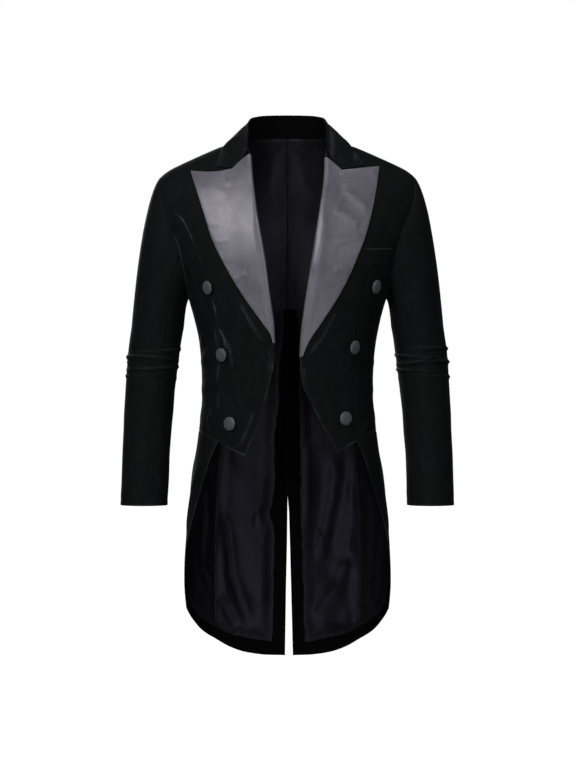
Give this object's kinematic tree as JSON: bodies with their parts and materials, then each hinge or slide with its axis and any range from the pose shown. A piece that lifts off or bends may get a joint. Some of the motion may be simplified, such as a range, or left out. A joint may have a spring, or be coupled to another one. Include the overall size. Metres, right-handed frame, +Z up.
{
  "type": "tailcoat",
  "caption": "Black velvet evening tailcoat with cutaway front, satin peak lapels and two tails, hollow as worn.",
  "frame": {"origin": "shoulder level, midway between the sleeves and midway through the shoulders, where the wearer carries the coat", "axes": "+Z up, +X to the wearer's left, +Y behind the wearer: the coat faces -Y"},
  "size_m": [0.629, 0.2514, 1.0444],
  "materials": {
    "shell_velvet": "velvet",
    "lapel_satin": "satin",
    "tail_lining_cloth": "smooth twill lining",
    "button_cloth": "satin cloth cover"
  },
  "bodies": {
    "root": {"front_left": "shell_velvet", "front_right": "shell_velvet", "side_left": "shell_velvet", "side_right": "shell_velvet", "skirt_left": "shell_velvet", "skirt_right": "shell_velvet", "back_left": "shell_velvet", "back_right": "shell_velvet", "upper_sleeve_left": "shell_velvet", "upper_sleeve_right": "shell_velvet", "under_sleeve_left": "shell_velvet", "under_sleeve_right": "shell_velvet", "collar": "shell_velvet", "breast_welt": "shell_velvet", "lapel_left": "lapel_satin", "lapel_right": "lapel_satin", "back_lining_left": "tail_lining_cloth", "back_lining_right": "tail_lining_cloth", "tail_lining_left": "tail_lining_cloth", "tail_lining_right": "tail_lining_cloth", "skirt_lining_left": "tail_lining_cloth", "skirt_lining_right": "tail_lining_cloth", "button_top_left": "button_cloth", "button_top_right": "button_cloth", "button_mid_left": "button_cloth", "button_mid_right": "button_cloth", "button_low_left": "button_cloth", "button_low_right": "button_cloth"}
  },
  "joints": []
}
